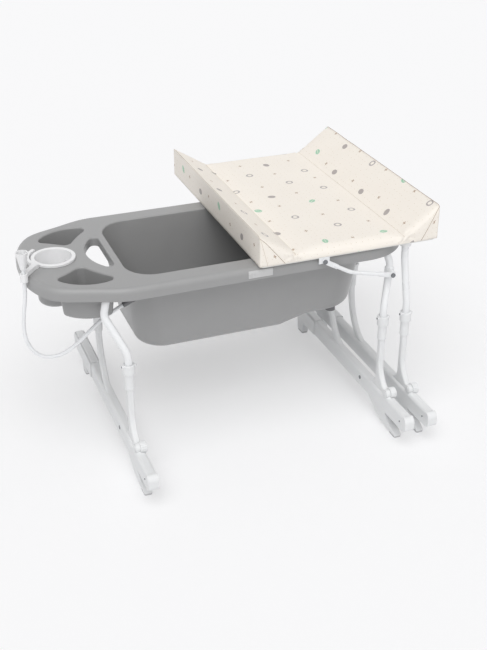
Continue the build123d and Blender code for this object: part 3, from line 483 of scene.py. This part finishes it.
def skin_node(i, j, k):
    """The skin's node at a place in the grid, made the first time it is asked for."""
    if (i, j, k) not in nodes_of_skin:
        nodes_of_skin[(i, j, k)] = skin.verts.new(mat_point(i, j, k))
    return nodes_of_skin[(i, j, k)]


def add_side(side, corners):
    """One quad of the cover with its flat places."""
    face = skin.faces.new([skin_node(*c) for c in corners])
    face.smooth = True
    for loop, corner in zip(face.loops, corners):
        loop[flat_layer].uv = cloth_place(side, *corner)


for i in range(ACROSS):
    for j in range(ALONG):
        add_side("top", [(i, j, UP), (i + 1, j, UP), (i + 1, j + 1, UP), (i, j + 1, UP)])
        add_side("base", [(i, j, 0), (i, j + 1, 0), (i + 1, j + 1, 0), (i + 1, j, 0)])
    for k in range(UP):
        add_side("front", [(i, 0, k), (i + 1, 0, k), (i + 1, 0, k + 1), (i, 0, k + 1)])
        add_side("back", [(i, ALONG, k), (i, ALONG, k + 1), (i + 1, ALONG, k + 1), (i + 1, ALONG, k)])
for j in range(ALONG):
    for k in range(UP):
        add_side("left", [(0, j, k), (0, j, k + 1), (0, j + 1, k + 1), (0, j + 1, k)])
        add_side("right", [(ACROSS, j, k), (ACROSS, j + 1, k), (ACROSS, j + 1, k + 1), (ACROSS, j, k + 1)])
skin.verts.index_update()
fold_columns = (WING_CELLS, ACROSS - WING_CELLS)
held = [
    vert.index
    for (i, j, k), vert in nodes_of_skin.items()
    if k == 0
    or (i in (0, ACROSS) and k == UP)
    or (i in (0, ACROSS) and j in (0, ALONG))
    or (i in fold_columns and k == UP)
]
mat_mesh = bpy.data.meshes.new("changing_mat")
skin.to_mesh(mat_mesh)
skin.free()
mat = bpy.data.objects.new("changing_mat", mat_mesh)
scene.collection.objects.link(mat)

# The foam pushes the cover out between its seams, which stay where they are sewn.
seams = mat.vertex_groups.new(name="seams")
seams.add(held, 1.0, "REPLACE")
fill = mat.modifiers.new("fill", "CLOTH")
fill.settings.use_pressure = True
fill.settings.uniform_pressure_force = 4.0
fill.settings.vertex_group_mass = "seams"
fill.settings.tension_stiffness = 12.0
fill.settings.bending_stiffness = 0.6
fill.settings.quality = 5
fill.settings.effector_weights.gravity = 0.0
fill.point_cache.frame_start = 1
fill.point_cache.frame_end = PUFF_FRAMES
for step in range(1, PUFF_FRAMES + 1):
    scene.frame_set(step)
filled = mat.evaluated_get(bpy.context.evaluated_depsgraph_get()).data
for vert, moved in zip(mat_mesh.vertices, [v.co.copy() for v in filled.vertices]):
    push = moved - vert.co
    if push.length > PUFF_CAP:
        push *= PUFF_CAP / push.length
    vert.co += push
mat.modifiers.clear()
scene.frame_set(1)

smoother = mat.modifiers.new("fine_cloth", "SUBSURF")
smoother.levels = smoother.render_levels = 1
crease = mat_mesh.attributes.new("crease_edge", "FLOAT", "EDGE")
held_set = set(held)
for edge in mat_mesh.edges:
    if all(v in held_set for v in edge.vertices):
        crease.data[edge.index].value = 0.75
bpy.context.view_layer.objects.active = mat
mat.select_set(True)
bpy.ops.object.modifier_apply(modifier="fine_cloth")

# Puckers: the cover gathers in short folds round each place where a wing's inner edge meets
# the front or back, and lies a little uneven everywhere.
PUCKER_REACH = 0.040
PUCKER_DEPTH = 0.0030
PUCKER_FOLDS = 7
PUCKER_CORE = 0.010
UNEVEN_DEPTH = 0.0008
UNEVEN_PER_METRE = 14.0
BASE_KEPT_FLAT = 0.002
gathered = [
    Vector((MAT_LEFT + across[i], MAT_FRONT + MAT_LENGTH * end, MAT_LOW + MAT_THICK))
    for i in fold_columns
    for end in (0, 1)
]
for vert in mat_mesh.vertices:
    if vert.co.z < MAT_LOW + BASE_KEPT_FLAT:
        continue
    push = UNEVEN_DEPTH * noise.noise(vert.co * UNEVEN_PER_METRE)
    for place in gathered:
        apart = vert.co - place
        near = 1.0 - apart.length / PUCKER_REACH
        if near > 0.0:
            folds = math.sin(PUCKER_FOLDS * math.atan2(apart.z + abs(apart.y) * 0.6, apart.x))
            push += PUCKER_DEPTH * near * min(1.0, apart.length / PUCKER_CORE) * folds
    vert.co += vert.normal * push

# Vinyl-coated cotton: a close weave of 0.9 mm that just shows under the coat, and a small
# scattered print on ivory. Leaves, rings and pebbles of about 20 mm stand in every second
# field of a loose net, little crosses in the others, and dots of 2 mm all over. The sizes
# of the print are in millimetres.
NET = 84.0
NET_JITTER = 26.0
LEAVES_UP_TO = 0.36
PEBBLES_FROM = 0.66
LEAF_ARC = 15.4
LEAF_SHIFT = 7.4
LEAF_RIB = 0.6
RING_RADIUS = 8.6
RING_BAND = 2.4
PEBBLE_HALF = 11.5
PEBBLE_FLATTENED = 1.3
CROSS_BAR = 1.6
CROSS_REACH = 5.4
DOT_NET = 17.0
DOT_JITTER = 8.0
DOT_RADIUS = 1.0
DOTS_KEPT = 0.8
WEAVE_PITCH = 0.9
cover_cloth, cover_surface = start_material("coated_cotton")
cover_surface.inputs["IOR"].default_value = 1.46


def calc(operation, *terms):
    """One step of the print's arithmetic: each term is a number or a node's output."""
    numbers = {i: term for i, term in enumerate(terms) if not isinstance(term, tuple)}
    wired = {i: term for i, term in enumerate(terms) if isinstance(term, tuple)}
    return (add_node(cover_cloth, "ShaderNodeMath", {"operation": operation}, numbers, wired), "Value")


cover_place = add_node(cover_cloth, "ShaderNodeUVMap", {"uv_map": "cover"})
flat_place = add_node(cover_cloth, "ShaderNodeSeparateXYZ", links={"Vector": (cover_place, "UV")})
along_x = calc("MULTIPLY", (flat_place, "X"), 1000.0)
along_y = calc("MULTIPLY", (flat_place, "Y"), 1000.0)


def field(size_mm, jitter_mm):
    """Place inside its field of the net, turned and moved by chance, and the chance itself."""
    column = calc("FLOOR", calc("DIVIDE", along_x, size_mm))
    row = calc("FLOOR", calc("DIVIDE", along_y, size_mm))
    cell = add_node(cover_cloth, "ShaderNodeCombineXYZ", links={"X": column, "Y": row})
    chance = add_node(
        cover_cloth,
        "ShaderNodeTexWhiteNoise",
        {"noise_dimensions": "3D"},
        links={"Vector": (cell, "Vector")},
    )
    shares = add_node(cover_cloth, "ShaderNodeSeparateColor", links={"Color": (chance, "Color")})
    middle = size_mm / 2 + jitter_mm / 2
    x = calc("SUBTRACT", calc("SUBTRACT", along_x, calc("MULTIPLY", column, size_mm)), middle)
    y = calc("SUBTRACT", calc("SUBTRACT", along_y, calc("MULTIPLY", row, size_mm)), middle)
    x = calc("MULTIPLY_ADD", (shares, "Red"), jitter_mm, x)
    y = calc("MULTIPLY_ADD", (shares, "Green"), jitter_mm, y)
    turn = calc("MULTIPLY", (shares, "Blue"), math.tau)
    cosine = calc("COSINE", turn)
    sine = calc("SINE", turn)
    turned_x = calc("MULTIPLY_ADD", x, cosine, calc("MULTIPLY", y, sine))
    turned_y = calc("SUBTRACT", calc("MULTIPLY", y, cosine), calc("MULTIPLY", x, sine))
    odd = calc("PINGPONG", calc("ADD", column, row), 1.0)
    return turned_x, turned_y, (chance, "Value"), odd


def from_point(x, y, right=0.0, stretch=1.0):
    """Distance in mm from a point to the right of the field's middle."""
    return calc(
        "SQRT",
        calc(
            "ADD",
            calc("POWER", calc("SUBTRACT", x, right), 2.0),
            calc("POWER", calc("MULTIPLY", y, stretch), 2.0),
        ),
    )


def both(*shares):
    """Where every one of the shares holds."""
    product = shares[0]
    for share in shares[1:]:
        product = calc("MULTIPLY", product, share)
    return product


x, y, kind, odd = field(NET, NET_JITTER)
even = calc("SUBTRACT", 1.0, odd)
edges_of_leaf = calc("MAXIMUM", from_point(x, y, LEAF_SHIFT), from_point(x, y, -LEAF_SHIFT))
off_the_rib = calc("GREATER_THAN", calc("ABSOLUTE", x), LEAF_RIB)
leaf = both(calc("LESS_THAN", edges_of_leaf, LEAF_ARC), off_the_rib)
from_band = calc("ABSOLUTE", calc("SUBTRACT", from_point(x, y), RING_RADIUS))
ring = calc("LESS_THAN", from_band, RING_BAND)
pebble = calc("LESS_THAN", from_point(x, y, 0.0, PEBBLE_FLATTENED), PEBBLE_HALF)
is_leaf = calc("LESS_THAN", kind, LEAVES_UP_TO)
is_pebble = calc("GREATER_THAN", kind, PEBBLES_FROM)
is_ring = both(calc("SUBTRACT", 1.0, is_leaf), calc("SUBTRACT", 1.0, is_pebble))
arm = calc("MINIMUM", calc("ABSOLUTE", x), calc("ABSOLUTE", y))
reach = calc("MAXIMUM", calc("ABSOLUTE", x), calc("ABSOLUTE", y))
cross = both(calc("LESS_THAN", arm, CROSS_BAR), calc("LESS_THAN", reach, CROSS_REACH), odd)
dot_x, dot_y, dot_chance, _ = field(DOT_NET, DOT_JITTER)
in_dot = calc("LESS_THAN", from_point(dot_x, dot_y), DOT_RADIUS)
dot = both(in_dot, calc("LESS_THAN", dot_chance, DOTS_KEPT))
weave = calc(
    "MULTIPLY",
    calc("SINE", calc("MULTIPLY", along_x, math.tau / WEAVE_PITCH)),
    calc("SINE", calc("MULTIPLY", along_y, math.tau / WEAVE_PITCH)),
)
shade = add_node(
    cover_cloth,
    "ShaderNodeTexNoise",
    inputs={"Scale": 9.0, "Detail": 3.0},
    links={"Vector": (cover_place, "UV")},
)
print_colour = add_node(
    cover_cloth,
    "ShaderNodeMix",
    {"data_type": "RGBA"},
    {6: linear("#F8F1E7"), 7: linear("#FCF6ED")},
    {"Factor": (shade, "Fac")},
)
for share, ink in (
    (dot, "#DDD0BB"),
    (cross, "#C0AB98"),
    (both(leaf, is_leaf, even), "#A8D2B6"),
    (both(ring, is_ring, even), "#BAB3B1"),
    (both(pebble, is_pebble, even), "#B4ACA9"),
):
    print_colour = add_node(
        cover_cloth,
        "ShaderNodeMix",
        {"data_type": "RGBA"},
        {7: linear(ink)},
        {"Factor": share, 6: (print_colour, 2)},
    )
cover_gloss = add_node(
    cover_cloth,
    "ShaderNodeMapRange",
    inputs={"To Min": 0.52, "To Max": 0.66},
    links={"Value": (shade, "Fac")},
)
cover_relief = add_node(
    cover_cloth,
    "ShaderNodeBump",
    inputs={"Strength": 0.5, "Distance": 0.00006},
    links={"Height": weave},
)
for socket, (source, output) in (
    ("Base Color", (print_colour, 2)),
    ("Roughness", (cover_gloss, "Result")),
    ("Normal", (cover_relief, "Normal")),
):
    cover_cloth.node_tree.links.new(source.outputs[output], cover_surface.inputs[socket])
mat.data.materials.append(cover_cloth)
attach(mat, "changing_top")
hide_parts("mat")

# Seams of the mat's cover
# Twisted polyester thread and the turned edge of the cover, 1.2 mm thick: along the top of
# each wing, down its end from the top corner, and along the line where it meets the middle.
SEAM_RADIUS = 0.0006
SEAM_STEP = 0.004
SEAM_STANDS = 0.3
SEAM_LOW = 0.001
RIGHT_SEAM_FOOT = 0.050
LEFT_SEAM_FOOT = 0.070
LEFT_FOLD_FOOT = 0.022
LEFT_FOLD = MAT_LEFT + WING_WIDTH
RIGHT_EDGE = MAT_LEFT + MAT_WIDTH
RIGHT_FOLD = RIGHT_EDGE - WING_WIDTH
MAT_BACK = MAT_FRONT + MAT_LENGTH
MAT_TOP = MAT_LOW + MAT_THICK
seam_thread, _ = moulded_finish(
    "polyester_thread",
    light_hex="#B7A592",
    dark_hex="#A89684",
    roughness=0.7,
    ior=1.5,
    grain_mm=0.5,
    grain_depth_mm=0.1,
    mottle_mm=8.0,
)
fold_thread, _ = moulded_finish(
    "turned_cover_edge",
    light_hex="#E2D8CB",
    dark_hex="#DACFC1",
    roughness=0.65,
    ior=1.5,
    grain_mm=0.9,
    grain_depth_mm=0.06,
    mottle_mm=20.0,
)


def seam_along(x, z):
    """First and last place of a seam from the mat's front to its back."""
    return (x, MAT_FRONT, z), (x, MAT_BACK, z)


right_ridge = seam_along(RIGHT_EDGE, MAT_LOW + RIGHT_RISE)
left_ridge = seam_along(MAT_LEFT, MAT_LOW + LEFT_RISE)
seam_lines = []
for at_end, end in enumerate((MAT_FRONT, MAT_BACK)):
    for top, foot, thread in (
        (right_ridge[at_end], RIGHT_EDGE - RIGHT_SEAM_FOOT, seam_thread),
        (left_ridge[at_end], MAT_LEFT + LEFT_FOLD_FOOT, fold_thread),
        (left_ridge[at_end], MAT_LEFT + LEFT_SEAM_FOOT, seam_thread),
    ):
        seam_lines.append((top, (foot, end, MAT_LOW + SEAM_LOW), thread))
seam_lines.append((*right_ridge, seam_thread))
seam_lines.append((*left_ridge, fold_thread))
seam_lines.append((*seam_along(RIGHT_FOLD, MAT_TOP), fold_thread))
seam_lines.append((*seam_along(LEFT_FOLD, MAT_TOP), fold_thread))
seams_curve = bpy.data.curves.new("cover_seams", "CURVE")
seams_curve.dimensions = "3D"
seams_curve.bevel_depth = SEAM_RADIUS
seams_curve.bevel_resolution = 2
seams_curve.materials.append(seam_thread)
seams_curve.materials.append(fold_thread)
for first, last, thread in seam_lines:
    start, way = Vector(first), Vector(last) - Vector(first)
    count = max(2, round(way.length / SEAM_STEP))
    line = seams_curve.splines.new("POLY")
    line.points.add(count)
    line.material_index = 0 if thread is seam_thread else 1
    for step, point in enumerate(line.points):
        _, spot, facing, _ = mat.closest_point_on_mesh(start + way * step / count)
        point.co = (*(spot + facing * SEAM_RADIUS * SEAM_STANDS), 1.0)
seams_piece = bpy.data.objects.new("cover_seams", seams_curve)
scene.collection.objects.link(seams_piece)
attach(seams_piece, "changing_top")

# Plate on the rim
# The tub carries a plate in the front lip of its rim, moulded with it and left bare here: a
# raised field of 67 by 20 mm with a paler, smoother face.
PLATE_LEFT = 0.00475
PLATE_RIGHT = 0.07175
PLATE_LOW = 0.4950
PLATE_HIGH = 0.5150
PLATE_DEPTH = 0.0008
PLATE_EDGE = 0.0003
PLATE_OFF = Vector((0.0, -0.0001, 0.0))
BEFORE_TUB = -0.5
INTO_TUB = Vector((0.0, 1.0, 0.0))
PLATE_COLUMNS = 24
PLATE_ROWS = 8
tub_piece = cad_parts["tub"]
into_tub = tub_piece.matrix_world.inverted()
plate_form = bmesh.new()
plate_rows = []
for row in range(PLATE_ROWS + 1):
    plate_rows.append([])
    for column in range(PLATE_COLUMNS + 1):
        at_x = PLATE_LEFT + (PLATE_RIGHT - PLATE_LEFT) * column / PLATE_COLUMNS
        at_z = PLATE_LOW + (PLATE_HIGH - PLATE_LOW) * row / PLATE_ROWS
        hit, spot, _, _ = tub_piece.ray_cast(into_tub @ Vector((at_x, BEFORE_TUB, at_z)), INTO_TUB)
        if hit:
            on_rim = tub_piece.matrix_world @ spot + PLATE_OFF
            plate_rows[-1].append(plate_form.verts.new(on_rim))
for low_row, high_row in zip(plate_rows, plate_rows[1:]):
    for column in range(min(len(low_row), len(high_row)) - 1):
        plate_form.faces.new(
            (low_row[column], low_row[column + 1], high_row[column + 1], high_row[column])
        ).smooth = True
plate_mesh = bpy.data.meshes.new("bare_plate")
plate_form.to_mesh(plate_mesh)
plate_form.free()
plate = bpy.data.objects.new("bare_plate", plate_mesh)
scene.collection.objects.link(plate)
thick = plate.modifiers.new("thick", "SOLIDIFY")
thick.thickness = PLATE_DEPTH
thick.offset = 1.0
round_edge = plate.modifiers.new("round_edge", "BEVEL")
round_edge.width = PLATE_EDGE
round_edge.segments = 2
plate_plastic, _ = moulded_finish(
    "moulded_plate",
    light_hex="#CBCBCB",
    dark_hex="#C4C4C4",
    roughness=0.30,
    ior=1.49,
    grain_mm=1.0,
    grain_depth_mm=0.02,
    mottle_mm=20.0,
)
plate_mesh.materials.append(plate_plastic)
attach(plate, "stand")
